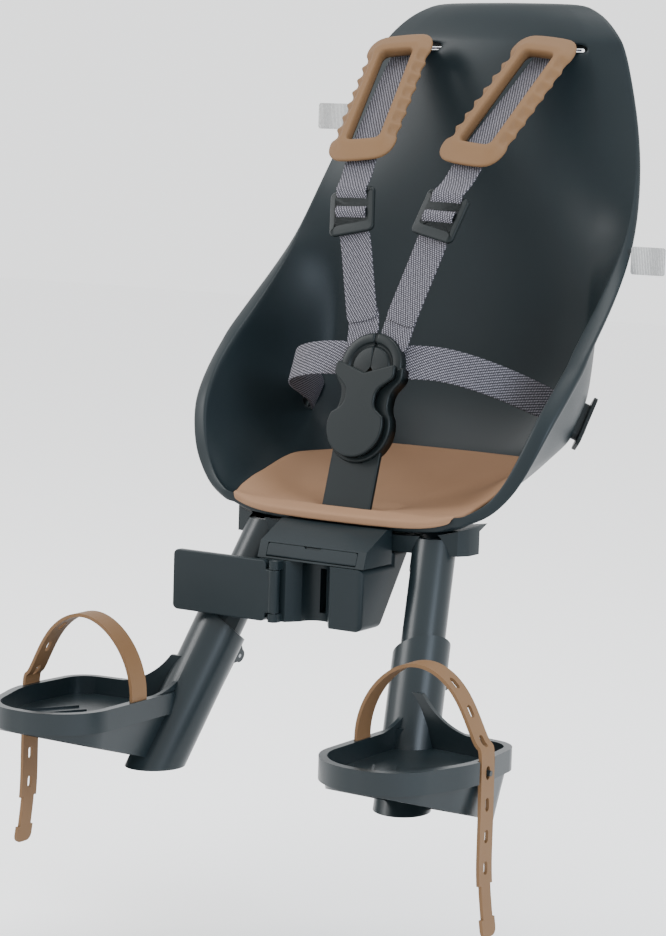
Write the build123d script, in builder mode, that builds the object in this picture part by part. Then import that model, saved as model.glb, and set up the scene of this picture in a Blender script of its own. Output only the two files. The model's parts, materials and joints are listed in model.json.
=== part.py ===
"""Child seat that hangs on a post at the handlebar of a bicycle. Millimetres, +Z up.

The origin is the axis of the bracket post in the saddle, halfway up. The seat faces -Y.
"""
import os
from collections import namedtuple
from math import cos, radians, sin, sqrt

from build123d import *

os.makedirs("parts", exist_ok=True)

# Clearances
seat_gap = 0.3
slide_gap = 0.15
pin_gap = 0.05

# Seat shell
shell_wall = 3.6
lip_height = 7.0
lip_crown = 1.2
shoulder_slot = (34, 7)
shoulder_slot_x = 59
shoulder_slot_z = 386
hip_slot = (9, 32)
hip_slot_x = 112

# Seat pad
pad_gap = 1.7
pad_thickness = 8.5
pad_edge = 4.0
pad_front_y = 22
pad_corner_y = 26
pad_corner_x = 90
pad_lip_bottom = 47.2
pad_half_widths = (82, 90, 97, 101, 100, 96, 90, 72)
recess_length = 46
recess_depth = 4

# Carrier and legs
base_bottom = 31
base_height = 34
base_wall = 3
base_outline = ((0, 31), (62, 31), (92, 38), (97, 46), (97, 60), (75, 76), (72, 128), (0, 128))
base_underside = ((74, 30), (136, 52), (136, 20), (74, 20))
base_pocket_x = 50
base_pocket_y = 84
base_pocket_length = 62
base_pocket_depth = 6
base_hollow = ((0, 0), (50, 0.5), (62, 1.3), (75, 2.7), (85, 4.6), (98, 8.8))
screw_pattern = (80, 44)
screw_radius = 2
leg_seat = 11
leg_radius = 15.5
leg_wall = 4.2
leg_top = (68, 49.5, 45.1)
leg_lean = 28
leg_splay = 9.9
leg_length = 175
notch_pitch = 31
notch_count = 5
notch_height = 3
first_notch = 40
flat_angle = 150
flat_depth = 0.8
flat_width = 9
groove_depth = 2.2
groove_width = 9

# Bracket block
post_radius = 11.1
saddle_gap = 0.05
block_half_width = 44
block_front = -10
block_bottom = -22
block_top = 21.5
block_foot = 19
block_back = 50
neck_back = 57
neck_front = 31
funnel_half_width = 19
slit_width = 5
slit_depth = 18
slit_margin = 6
hood_half_width = 44
hood_wall = 3
hood_profile = ((-8, 21.8), (-4, 33.5), (22, 46.4), (29.6, 46.4), (29.6, 21.8))
lid_half_width = 37
lid_thickness = 2.6
lid_bottom = 1.6
lid_top = 11.2
lid_corner = 2
lid_pin_radius = 0.9
lid_pin_length = 2
nail_notch = (14, 3)
lug_height = 6
door_length = 85
door_thickness = 6
door_gap = 1.5
door_corner = 4
hinge_x = -25
hinge_pin_radius = 2
knuckle_radius = 4

# Footrests
sleeve_wall = 4
sleeve_top = 88
sleeve_bottom_z = -131
tray_top = -77
tray_band = 15
tray_wall = 3.2
tray_floor = 13
tray_taper = 9
tray_corners = ((92, -158.5), (165, -158.5), (187, -95), (181, -31), (103, -22), (92, -42))
tray_radii = (40, 36, 80, 20, 12, 12)
band_proud = 2.5
keel_line = ((-200, -81), (0, -140))
gusset_top = -54
collar_tilt = -20
rib_centre = (135, -110)
rib_angle = 30
rib_pitch = 14
rib_count = 5
rib_width = 1.6
rib_length = 46
rib_height = 1.5
lever_pivot = (25, -104)
lever_half_width = 5.5
lever_length = 34
lever_gap = 1
lever_pin_radius = 1.5
ear_thickness = 3
ear_radius = 5
tooth_at = -118
tooth_height = 4
tooth_half_width = 3.5
tooth_window = 16

# Foot straps
strap_y = -81
strap_width = 17
strap_thickness = 2.4
strap_wall_x = 185.6
strap_slot_depth = 10
strap_arch = ((92.4, -70), (104, -40), (134, -21), (166, -37), (184, -68))
strap_tail = ((187.6, -123), (188, -152), (193, -194))
strap_holes = 4
hole_pitch = 21
hole_size = (9, 4.6)
peg_z = -86
peg_radius = 1.9
peg_length = 5
neck_middle = -171
neck_length = 22
neck_step = 5

# Harness
webbing_width = 25
webbing_thickness = 1.6
stalk_foot = (0, 38, 54)
buckle_lean = 17.3
stalk_width = 40
stalk_thickness = 4
stalk_bottom = -9.5
stalk_top = 72
buckle_low = 60
buckle_low_radius = 25
buckle_high = 100
buckle_high_radius = 27.5
buckle_waist = 18
buckle_cut = 103.7
buckle_back = -4.5
buckle_front = 5.2
button_travel = 2.5
button_thickness = 4
button_radius = 23
button_neck = 11
button_arm = 26
button_arm_height = 102
guide_at = 82
guide_radius = 5
guide_depth = 7
tongue_radius = 25
tongue_back = -3.5
tongue_front = 6.5
tab_size = (10, 10)
tab_x = 10
tab_thickness = 3
webbing_slot_v = 115
webbing_slot_z = 1.5
webbing_slot = 2.4
chest_route = ((13, 75, 178), (25, 85, 220), (37, 96, 263), (45.8, 119, 305), (53.9, 159.5, 344.5), (62, 200, 384))
chest_end = ((59, 224, 386), (59, 241, 386))
right_waist_route = ((29, 73, 160), (45, 85, 160), (78, 120, 146))
left_waist_route = ((-29, 70, 160), (-52, 66, 158), (-75, 84, 148), (-86, 116, 140))
waist_across = (0, -0.25, -0.97)
shoulder_pad_size = (54, 135, 6)
shoulder_pad_window = (25, 95)
shoulder_pad_gap = 0.9
scallop_count = 7
scallop_pitch = 13.5
scallop_radius = 5.5
slider_at = (37, 96, 263)
slider_size = (36, 34.5, 3)
slider_window = (27, 8)
slider_pitch = 13
slider_gap = 0.4
anchor_size = (38, 13)
anchor_thickness = 3
anchor_lean = 0.2
anchor_y = 232
anchor_slot = (29, 2.6)

# Side tags and screws
tag_length = 27
tag_height = 20
tag_thickness = 1.2
right_tag_at = (146.1, 180, 236)
left_tag_at = (126.7, 227, 332)
screw_head_radius = 4
screw_head_height = 2.4
screw_length = 4.5

# Sections of the bucket, from the front edge over the pan and up the back to the head roll.
# y and z place a section on the centre line, lean turns its plane (90 upright, 180 level),
# width is half the width over the rim, depth how far the rim stands off the centre line,
# fullness how square the corner is, and lip how broad the rolled rim is.
Section = namedtuple("Section", "y z lean width depth fullness lip")
sections = [
    Section(30, 48.5, 90, 98, 10, 6.0, 5),
    Section(38, 47.8, 88, 122, 24, 6.0, 8),
    Section(50, 47.0, 95, 139, 49, 5.2, 11),
    Section(72, 46.5, 104, 147, 74, 4.6, 12),
    Section(98, 47.2, 112, 150, 92, 4.0, 13),
    Section(124, 51.5, 117, 152, 106, 3.4, 13),
    Section(156, 62, 127.4, 152.6, 116.6, 4.0, 13),
    Section(175, 83, 136.8, 152.8, 113.3, 5.5, 13),
    Section(188.5, 107, 145.7, 152.8, 107.3, 7.5, 13),
    Section(196, 137, 160.1, 152.5, 99.7, 9, 13),
    Section(199, 174, 180, 152, 92, 9, 13),
    Section(201, 200, 180, 150.2, 63, 7.5, 12),
    Section(202.5, 226, 180, 146.8, 37.5, 5, 11),
    Section(203.5, 253, 180, 142, 16, 3, 9),
    Section(205, 292, 180, 134, -5, 2.3, 7),
    Section(210, 332, 180, 122.9, -17.5, 2.3, 6),
    Section(216, 372, 180, 109, -21.5, 2.3, 5),
    Section(222, 395, 180, 99.5, -17, 2.3, 5),
    Section(231, 410, 180, 85, -13, 2.3, 5),
    Section(239, 418, 180, 69, -9.5, 2.3, 5),
    Section(244, 421.5, 180, 57, -7, 2.3, 5),
]


# Where the wall's splines take their points, as shares of the half width
wall_shares = (0.85, 0.65, 0.35, 0, -0.35, -0.65, -0.85)
pad_shares = (-1, -0.85, -0.6, -0.3, 0, 0.3, 0.6, 0.85, 1)


def section_plane(section):
    """Plane with X across the seat and its own Y from the centre line towards the rim."""
    lean = radians(section.lean)
    return Plane(origin=(0, section.y, section.z), x_dir=(1, 0, 0), z_dir=(0, -sin(lean), cos(lean)))


def inner_half_width(section):
    """Half width of the inner face at the rim, with the rolled lip taken off."""
    slope = section.fullness * section.depth / section.width
    return section.width - max(0, section.lip * slope / sqrt(1 + slope**2))


def wall_point(section, across, offset):
    """Point in the section's plane at a distance across, offset outwards from the inner face."""
    half = inner_half_width(section)
    share = abs(across) / half
    rise = section.depth * share**section.fullness
    slope = section.fullness * section.depth / half * share ** (section.fullness - 1)
    length = sqrt(1 + slope**2)
    side = 1 if across >= 0 else -1
    return (across + side * offset * slope / length, rise - offset / length)


def rim_points(section):
    """Inner edge, crown, outer edge, lower edge and root of the rolled lip on the right side."""
    half = inner_half_width(section)
    slope = section.fullness * section.depth / half
    length = sqrt(1 + slope**2)
    along = Vector(1 / length, slope / length)
    out = Vector(slope / length, -1 / length)
    edge = Vector(half, section.depth)
    outer = edge + out * section.lip
    crown = edge + out * (section.lip / 2) + along * lip_crown
    return edge, crown, outer, outer - along * lip_height, edge + out * shell_wall - along * lip_height


def flip(point):
    """The point's mirror image across the centre line, in a section's plane."""
    return Vector(-point.X, point.Y)


def section_point(section, across, offset):
    """A wall point of a section as a point in space."""
    x, y = wall_point(section, across, offset)
    return section_plane(section).from_local_coords((x, y, 0))


def export_pair(part, name):
    """Write a right-hand piece and its mirror image."""
    part.label = f"right_{name}"
    export_step(part, f"parts/right_{name}.step")
    twin = mirror(part, about=Plane.YZ)
    twin.label = f"left_{name}"
    export_step(twin, f"parts/left_{name}.step")


def ribbon(stops, across, width, thickness):
    """Strip of webbing laid through the stops, its width turned from one direction to another."""
    points = [Vector(*stop) for stop in stops]
    first, last = (Vector(*direction) for direction in across)
    with BuildPart() as strip:
        for index, point in enumerate(points):
            run = points[min(index + 1, len(points) - 1)] - points[max(index - 1, 0)]
            run = run.normalized()
            share = index / (len(points) - 1)
            wide = first * (1 - share) + last * share
            side = wide - run * run.dot(wide)
            with BuildSketch(Plane(origin=point, x_dir=side, z_dir=run)):
                Rectangle(width, thickness)
        loft(ruled=True)
    return strip.part


# Places that several pieces share
hip_section = sections[8]
hip_point = section_point(hip_section, hip_slot_x, 0)
hip_run = section_point(sections[7], hip_slot_x, 0) - section_point(sections[9], hip_slot_x, 0)
hip_side = section_point(hip_section, hip_slot_x + 1, 0) - section_point(hip_section, hip_slot_x - 1, 0)
hip_plane = Plane(origin=hip_point, x_dir=hip_run, z_dir=hip_side.cross(hip_run))
left_hip_plane = Plane(
    origin=(-hip_point.X, hip_point.Y, hip_point.Z),
    x_dir=(-hip_plane.x_dir.X, hip_plane.x_dir.Y, hip_plane.x_dir.Z),
    z_dir=(-hip_plane.z_dir.X, hip_plane.z_dir.Y, hip_plane.z_dir.Z),
)
lean = radians(leg_lean)
splay = radians(leg_splay)
leg_axis = Vector(sin(splay), -sin(lean) * cos(splay), -cos(lean) * cos(splay))
leg_plane = Plane(origin=leg_top, x_dir=Vector(1, 0, 0) - leg_axis * leg_axis.X, z_dir=leg_axis)
left_leg_plane = Plane(
    origin=(-leg_top[0], leg_top[1], leg_top[2]),
    x_dir=(leg_plane.x_dir.X, -leg_plane.x_dir.Y, -leg_plane.x_dir.Z),
    z_dir=(-leg_axis.X, leg_axis.Y, leg_axis.Z),
)
lever_plane = Plane(origin=leg_top, x_dir=-leg_plane.y_dir, z_dir=leg_plane.x_dir)
back_lean = radians(buckle_lean)
buckle_plane = Plane(origin=stalk_foot, x_dir=(1, 0, 0), z_dir=(0, -cos(back_lean), sin(back_lean)))

band_run = Vector(0, hood_profile[1][0] - hood_profile[0][0], hood_profile[1][1] - hood_profile[0][1])
hatch_plane = Plane(
    origin=(0, hood_profile[0][0], hood_profile[0][1]),
    x_dir=(1, 0, 0),
    z_dir=Vector(1, 0, 0).cross(band_run),
)
lid_hinge = hatch_plane.from_local_coords((0, lid_bottom + lid_thickness / 2, -lid_thickness / 2))

# Seat shell: a loft over the sections, with slots for the straps and the buckle stalk
with BuildPart() as seat_shell:
    for section in sections:
        edge, crown, outer, lower, root = rim_points(section)
        half = inner_half_width(section)
        with BuildSketch(section_plane(section)):
            with BuildLine():
                inner_wall = [wall_point(section, half * share, 0) for share in wall_shares]
                outer_wall = [wall_point(section, half * share, shell_wall) for share in wall_shares]
                Spline(flip(edge), *reversed(inner_wall), edge)
                ThreePointArc(edge, crown, outer)
                Polyline(outer, lower, root)
                Spline(root, *outer_wall, flip(root))
                Polyline(flip(root), flip(lower), flip(outer))
                ThreePointArc(flip(outer), flip(crown), flip(edge))
            make_face()
    loft()
    with BuildSketch(Plane(origin=(0, sections[-1].y, shoulder_slot_z), x_dir=(1, 0, 0), z_dir=(0, -1, 0))):
        with Locations((shoulder_slot_x, 0), (-shoulder_slot_x, 0)):
            SlotOverall(*shoulder_slot)
    extrude(amount=sections[-1].y - sections[-5].y + shell_wall, mode=Mode.SUBTRACT)
    for plane in (hip_plane, left_hip_plane):
        with BuildSketch(plane.offset(-shell_wall)):
            SlotOverall(hip_slot[1], hip_slot[0])
        extrude(amount=3 * shell_wall, mode=Mode.SUBTRACT)
    with BuildSketch(buckle_plane.offset(-stalk_thickness / 2 - seat_gap)):
        Rectangle(stalk_width + 4 * seat_gap, 40)
    extrude(amount=stalk_thickness + 2 * seat_gap, mode=Mode.SUBTRACT)
seat_shell.part.label = "seat_shell"
export_step(seat_shell.part, "parts/seat_shell.step")

# Seat pad: follows the pan, thinner at its edge, with a lip over the shell's front
with BuildPart() as seat_pad:
    for section, half in zip(sections, pad_half_widths):
        with BuildSketch(section_plane(section)):
            with BuildLine():
                under = [wall_point(section, half * share, -pad_gap) for share in pad_shares]
                over = []
                for share in pad_shares:
                    thickness = pad_thickness - (pad_thickness - pad_edge) * share**4
                    over.append(wall_point(section, half * share, -pad_gap - thickness))
                Spline(*under)
                Line(under[-1], over[-1])
                Spline(*reversed(over))
                Line(over[0], under[0])
            make_face()
    loft(ruled=True)
    front = sections[0].y
    with BuildSketch(Plane.XY.offset(pad_lip_bottom)):
        with BuildLine():
            ThreePointArc((-pad_corner_x, pad_corner_y), (0, pad_front_y), (pad_corner_x, pad_corner_y))
            Polyline(
                (pad_corner_x, pad_corner_y),
                (pad_corner_x - 4, front - seat_gap),
                (4 - pad_corner_x, front - seat_gap),
                (-pad_corner_x, pad_corner_y),
            )
        make_face()
    extrude(amount=sections[0].z + pad_thickness - pad_lip_bottom)
    with BuildSketch(Plane.XY.offset(sections[0].z + 2 * seat_gap + pad_edge)):
        with Locations((0, front)):
            Rectangle(2 * pad_corner_x - 16, 4)
    extrude(amount=pad_thickness - pad_edge - seat_gap)
    with BuildSketch(Plane.XY.offset(sections[0].z + pad_thickness - recess_depth)):
        with Locations((0, stalk_foot[1] - 4 + recess_length / 2)):
            RectangleRounded(stalk_width + 3, recess_length, 3)
    extrude(amount=3 * recess_depth, mode=Mode.SUBTRACT)
    with BuildSketch(buckle_plane.offset(-stalk_thickness / 2 - seat_gap)):
        Rectangle(stalk_width + 4 * seat_gap, 40)
    extrude(amount=stalk_thickness + 2 * seat_gap, mode=Mode.SUBTRACT)
seat_pad.part.label = "seat_pad"
export_step(seat_pad.part, "parts/seat_pad.step")

# Carrier under the pan: a ribbed box with a hollowed top and a socket for each leg
with BuildPart() as base_frame:
    with BuildSketch(Plane.XY.offset(base_bottom)):
        Polygon(*base_outline, align=None)
        mirror(about=Plane.YZ)
    extrude(amount=base_height)
    with BuildSketch(Plane.YZ):
        Polygon(*base_underside, align=None)
    extrude(amount=base_outline[3][0] + 1, both=True, mode=Mode.SUBTRACT)
    with BuildSketch(Plane.XZ):
        lift = sections[3].z - shell_wall - 3 * seat_gap
        hollow = [(across, lift + rise) for across, rise in base_hollow]
        Polygon(*hollow, (hollow[-1][0], lift + 2 * base_height), (0, lift + 2 * base_height), align=None)
        mirror(about=Plane.YZ)
    extrude(amount=-2 * base_outline[-1][1], mode=Mode.SUBTRACT)
    with BuildSketch(Plane.XY.offset(base_bottom)):
        with Locations((0, base_pocket_y)):
            Rectangle(2 * base_pocket_x, base_pocket_length)
    extrude(amount=base_pocket_depth, mode=Mode.SUBTRACT)
    with BuildSketch(Plane.XY.offset(base_bottom + base_wall)):
        with Locations((0, base_pocket_y)):
            with GridLocations(base_pocket_x, 1, 2, 1):
                Rectangle(base_wall, base_pocket_length)
            Rectangle(2 * base_pocket_x, base_wall)
    extrude(amount=base_pocket_depth)
    for plane in (leg_plane, left_leg_plane):
        with BuildSketch(plane.offset(-leg_radius)):
            Circle(leg_radius + pin_gap)
        extrude(amount=4 * leg_radius, mode=Mode.SUBTRACT)
    with BuildSketch(Plane.XY.offset(base_bottom)):
        with Locations((0, base_pocket_y)):
            with GridLocations(*screw_pattern, 2, 2):
                Circle(screw_radius + pin_gap)
    extrude(amount=base_height, mode=Mode.SUBTRACT)
base_frame.part.label = "base_frame"
export_step(base_frame.part, "parts/base_frame.step")

# Legs: tubes with a notched flat towards the block and a groove down the back
with BuildPart() as right_leg:
    with BuildSketch(leg_plane):
        Circle(leg_radius)
        Circle(leg_radius - leg_wall, mode=Mode.SUBTRACT)
    extrude(amount=leg_length)
    split(bisect_by=Plane.XY.offset(base_bottom + leg_seat), keep=Keep.BOTTOM)
    with BuildSketch(leg_plane.offset(2 * leg_radius)):
        with PolarLocations(leg_radius, 1, start_angle=flat_angle):
            Rectangle(2 * flat_depth, flat_width)
        with PolarLocations(leg_radius, 1, start_angle=270):
            Rectangle(2 * groove_depth, groove_width)
    extrude(amount=leg_length, mode=Mode.SUBTRACT)
    for step in range(notch_count):
        with BuildSketch(leg_plane.offset(first_notch + step * notch_pitch)):
            with PolarLocations(leg_radius, 1, start_angle=flat_angle):
                Rectangle(4 * flat_depth, flat_width)
        extrude(amount=notch_height, mode=Mode.SUBTRACT)
export_pair(right_leg.part, "leg")

# Bracket block: funnel and half-round saddle for the post, slit behind it, lugs for the door
saddle_radius = post_radius + saddle_gap
hinge_y = block_front - door_gap - door_thickness / 2
with BuildPart() as mount_housing:
    with BuildSketch(Plane.YZ):
        Polygon(
            (block_front, block_bottom),
            (block_foot, block_bottom),
            (block_back, block_top),
            (neck_back, base_bottom),
            (neck_front, base_bottom),
            (neck_front, block_top),
            (block_front, block_top),
            align=None,
        )
    extrude(amount=block_half_width, both=True)
    with BuildSketch(Plane.XY.offset(block_bottom)):
        Circle(saddle_radius)
        Polygon(
            (-funnel_half_width, block_front - 1),
            (funnel_half_width, block_front - 1),
            (saddle_radius, 0),
            (-saddle_radius, 0),
            align=None,
        )
    extrude(amount=block_top - block_bottom, mode=Mode.SUBTRACT)
    with BuildSketch(Plane.XY.offset(block_bottom + slit_margin)):
        with Locations((0, saddle_radius)):
            Rectangle(slit_width, slit_depth)
    extrude(amount=block_top - block_bottom - 2 * slit_margin, mode=Mode.SUBTRACT)
    for bottom in (block_bottom, block_top - lug_height):
        with BuildSketch(Plane.XY.offset(bottom)):
            with Locations((hinge_x, hinge_y)):
                Circle(knuckle_radius)
            with Locations((hinge_x, (hinge_y + block_front) / 2)):
                Rectangle(2 * knuckle_radius, block_front - hinge_y)
        extrude(amount=lug_height)
    with BuildSketch(Plane.XY.offset(block_bottom)):
        with Locations((hinge_x, hinge_y)):
            Circle(hinge_pin_radius)
    extrude(amount=block_top - block_bottom, mode=Mode.SUBTRACT)
mount_housing.part.label = "mount_housing"
export_step(mount_housing.part, "parts/mount_housing.step")

# Hood over the block: a folded cover with a band for the hatch along its front
with BuildPart() as mount_hood:
    with BuildSketch(Plane.YZ):
        Polygon(*hood_profile, align=None)
    extrude(amount=hood_half_width, both=True)
    with BuildSketch(Plane.YZ):
        Polygon(*hood_profile, align=None)
        offset(amount=-hood_wall, kind=Kind.INTERSECTION)
        with Locations((hood_profile[0][0] + 30, hood_profile[0][1])):
            Rectangle(60 - 2 * hood_wall, 4 * hood_wall)
    extrude(amount=hood_half_width - hood_wall, both=True, mode=Mode.SUBTRACT)
    with BuildSketch(hatch_plane):
        with Locations((0, (lid_bottom + lid_top) / 2)):
            Rectangle(2 * (lid_half_width + seat_gap), lid_top - lid_bottom + 2 * seat_gap)
    extrude(amount=3 * hood_wall, both=True, mode=Mode.SUBTRACT)
    with BuildSketch(Plane(origin=lid_hinge, z_dir=(1, 0, 0))):
        Circle(lid_pin_radius + pin_gap)
    extrude(amount=lid_half_width + lid_pin_length, both=True, mode=Mode.SUBTRACT)
mount_hood.part.label = "mount_hood"
export_step(mount_hood.part, "parts/mount_hood.step")

# Hatch lid, round along its lower edge, on two stub pins at its lower corners
lid_foot = lid_bottom + lid_thickness / 2
with BuildPart() as hatch_lid:
    with BuildSketch(hatch_plane) as lid_face:
        with Locations((0, (lid_foot + lid_top) / 2)):
            Rectangle(2 * lid_half_width, lid_top - lid_foot)
        fillet(lid_face.vertices().sort_by(Axis.Y)[-2:], lid_corner)
    extrude(amount=-lid_thickness)
    with BuildSketch(hatch_plane):
        with Locations((0, lid_top)):
            SlotOverall(nail_notch[0], nail_notch[1])
    extrude(amount=-lid_thickness / 2, mode=Mode.SUBTRACT)
    with BuildSketch(Plane(origin=lid_hinge, z_dir=(1, 0, 0))):
        Circle(lid_thickness / 2)
    extrude(amount=lid_half_width, both=True)
    with BuildSketch(Plane(origin=lid_hinge, z_dir=(1, 0, 0))):
        Circle(lid_pin_radius)
    extrude(amount=lid_half_width + lid_pin_length - seat_gap, both=True)
hatch_lid.part.label = "hatch_lid"
export_step(hatch_lid.part, "parts/hatch_lid.step")

# Lock door, swung open to the seat's right, and its hinge pin
with BuildPart() as lock_door:
    with BuildSketch(Plane(origin=(0, hinge_y + door_thickness / 2, 0), x_dir=(1, 0, 0), z_dir=(0, -1, 0))):
        with BuildLine():
            FilletPolyline(
                (hinge_x - knuckle_radius - door_gap, block_bottom),
                (hinge_x - door_length, block_bottom),
                (hinge_x - door_length, block_top),
                (hinge_x - knuckle_radius - door_gap, block_top),
                radius=door_corner,
                close=True,
            )
        make_face()
    extrude(amount=door_thickness)
    knuckle_bottom = block_bottom + lug_height + seat_gap
    knuckle_height = block_top - block_bottom - 2 * (lug_height + seat_gap)
    with BuildSketch(Plane.XY.offset(knuckle_bottom)):
        with Locations((hinge_x, hinge_y)):
            Circle(knuckle_radius)
        with Locations((hinge_x - knuckle_radius, hinge_y)):
            Rectangle(2 * knuckle_radius, door_thickness)
        with Locations((hinge_x, hinge_y)):
            Circle(hinge_pin_radius + pin_gap, mode=Mode.SUBTRACT)
    extrude(amount=knuckle_height)
lock_door.part.label = "lock_door"
export_step(lock_door.part, "parts/lock_door.step")

with BuildPart() as door_hinge_pin:
    with BuildSketch(Plane.XY.offset(block_bottom)):
        with Locations((hinge_x, hinge_y)):
            Circle(hinge_pin_radius)
    extrude(amount=block_top - block_bottom)
door_hinge_pin.part.label = "door_hinge_pin"
export_step(door_hinge_pin.part, "parts/door_hinge_pin.step")

# Footrest: foot tray with a proud band, tapering belly, sleeve on the leg and two gussets
sleeve_radius = leg_radius + slide_gap + sleeve_wall


def tray_sketch(level, growth):
    """The tray's outline on a level, grown outwards or drawn in."""
    with BuildSketch(Plane.XY.offset(level)) as outline:
        with BuildLine():
            FilletPolyline(*tray_corners, radius=tray_radii, close=True)
        make_face()
        if growth:
            offset(amount=growth)
    return outline.sketch


tray_bottom = tray_top - tray_band
strap_root_x = tray_corners[0][0] + (tray_wall - band_proud) / 2
with BuildPart() as right_footrest:
    add(tray_sketch(tray_bottom + 1, -1))
    add(tray_sketch(sleeve_bottom_z, -tray_taper))
    loft(ruled=True)
    with BuildSketch(Plane.YZ.offset(leg_top[0] - sleeve_radius)):
        Polygon(*keel_line, (0, -200), (-200, -200), align=None)
    extrude(amount=200, mode=Mode.SUBTRACT)
    add(tray_sketch(tray_top - tray_floor - tray_wall, -tray_wall - 1))
    add(tray_sketch(sleeve_bottom_z - 10, -tray_taper - tray_wall - 1))
    loft(ruled=True, mode=Mode.SUBTRACT)
    add(tray_sketch(tray_top, band_proud))
    extrude(amount=-tray_band)
    add(tray_sketch(tray_top, -tray_wall))
    extrude(amount=-tray_floor, mode=Mode.SUBTRACT)
    with BuildSketch(Plane.XY.offset(tray_top - tray_floor)):
        with Locations(Location(rib_centre, rib_angle)):
            with GridLocations(rib_pitch, 1, rib_count, 1):
                Rectangle(rib_width, rib_length)
    extrude(amount=rib_height)
    with BuildSketch(Plane.YZ.offset(tray_corners[0][0])):
        with BuildLine():
            ThreePointArc((-72, tray_top), (-36, -71), (-12, gusset_top))
            Polyline((-12, gusset_top), (0, gusset_top), (0, tray_bottom), (-72, tray_bottom), (-72, tray_top))
        make_face()
    extrude(amount=tray_wall)
    rear_run = Vector(*tray_corners[3]) - Vector(*tray_corners[4])
    with BuildSketch(Plane(origin=(*tray_corners[4], 0), x_dir=rear_run, z_dir=rear_run.cross(Vector(0, 0, 1)))):
        with BuildLine():
            ThreePointArc((58, tray_top), (22, -71), (2, gusset_top))
            Polyline((2, gusset_top), (-12, gusset_top), (-12, tray_bottom), (58, tray_bottom), (58, tray_top))
        make_face()
    extrude(amount=tray_wall)
    with BuildSketch(leg_plane.offset(sleeve_top - sleeve_radius)):
        Circle(sleeve_radius)
    extrude(amount=leg_length)
    split(bisect_by=Plane.XY.offset(sleeve_bottom_z), keep=Keep.TOP)
    collar = leg_plane.offset(sleeve_top).rotated((0, collar_tilt, 0))
    split(bisect_by=collar, keep=Keep.TOP)
    for side in (-lever_half_width - seat_gap - ear_thickness, lever_half_width + seat_gap):
        with BuildSketch(lever_plane.offset(side)):
            with Locations(lever_pivot):
                Circle(ear_radius)
            Polygon(
                (sleeve_radius - 2, lever_pivot[1] + 2 * ear_radius),
                (lever_pivot[0], lever_pivot[1] + ear_radius),
                (lever_pivot[0], lever_pivot[1] - ear_radius),
                (sleeve_radius - 2, lever_pivot[1] - 2 * ear_radius),
                align=None,
            )
        extrude(amount=ear_thickness)
    with BuildSketch(lever_plane):
        with Locations(lever_pivot):
            Circle(lever_pin_radius)
    extrude(amount=2 * lever_half_width, both=True, mode=Mode.SUBTRACT)
    with BuildSketch(leg_plane):
        Circle(leg_radius + slide_gap)
    extrude(amount=2 * leg_length, mode=Mode.SUBTRACT)
    with BuildSketch(lever_plane):
        with Locations((sleeve_radius - sleeve_wall / 2, tooth_at)):
            Rectangle(3 * sleeve_wall, tooth_window)
    extrude(amount=tooth_half_width + 3 * seat_gap, both=True, mode=Mode.SUBTRACT)
    with BuildSketch(Plane.YZ.offset(strap_wall_x)):
        with Locations((strap_y, tray_top - tray_band / 2)):
            Rectangle(strap_width + 4, 2 * tray_band)
    extrude(amount=20, mode=Mode.SUBTRACT)
    with BuildSketch(Plane.YZ.offset(strap_wall_x - 1)):
        with Locations((strap_y, peg_z)):
            Circle(peg_radius)
    extrude(amount=peg_length + 1)
    with BuildSketch(Plane.XY.offset(tray_top)):
        with Locations((strap_root_x, strap_y)):
            Rectangle(strap_thickness + 2 * seat_gap, strap_width + 2 * seat_gap)
    extrude(amount=-strap_slot_depth, mode=Mode.SUBTRACT)
export_pair(right_footrest.part, "footrest")

# Height lever on the back of the sleeve, its tooth in the leg's groove, and its pin
with BuildPart() as right_height_lever:
    with BuildSketch(lever_plane.offset(-lever_half_width)):
        with Locations(lever_pivot):
            Circle(ear_radius - 1)
        with BuildLine():
            FilletPolyline(
                (sleeve_radius + lever_gap, lever_pivot[1]),
                (lever_pivot[0] + 2, lever_pivot[1]),
                (lever_pivot[0] + 1, lever_pivot[1] - lever_length),
                (sleeve_radius + lever_gap, lever_pivot[1] - lever_length),
                radius=1,
                close=True,
            )
        make_face()
        with Locations(lever_pivot):
            Circle(lever_pin_radius + pin_gap, mode=Mode.SUBTRACT)
    extrude(amount=2 * lever_half_width)
    with BuildSketch(lever_plane):
        with Locations(((leg_radius - groove_depth + lever_pivot[0]) / 2 + seat_gap, tooth_at)):
            Rectangle(lever_pivot[0] - leg_radius + groove_depth - 2 * seat_gap, tooth_height)
    extrude(amount=tooth_half_width, both=True)
export_pair(right_height_lever.part, "height_lever")

with BuildPart() as right_lever_pin:
    with BuildSketch(lever_plane):
        with Locations(lever_pivot):
            Circle(lever_pin_radius)
    extrude(amount=lever_half_width + seat_gap + ear_thickness, both=True)
export_pair(right_lever_pin.part, "lever_pin")

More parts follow.
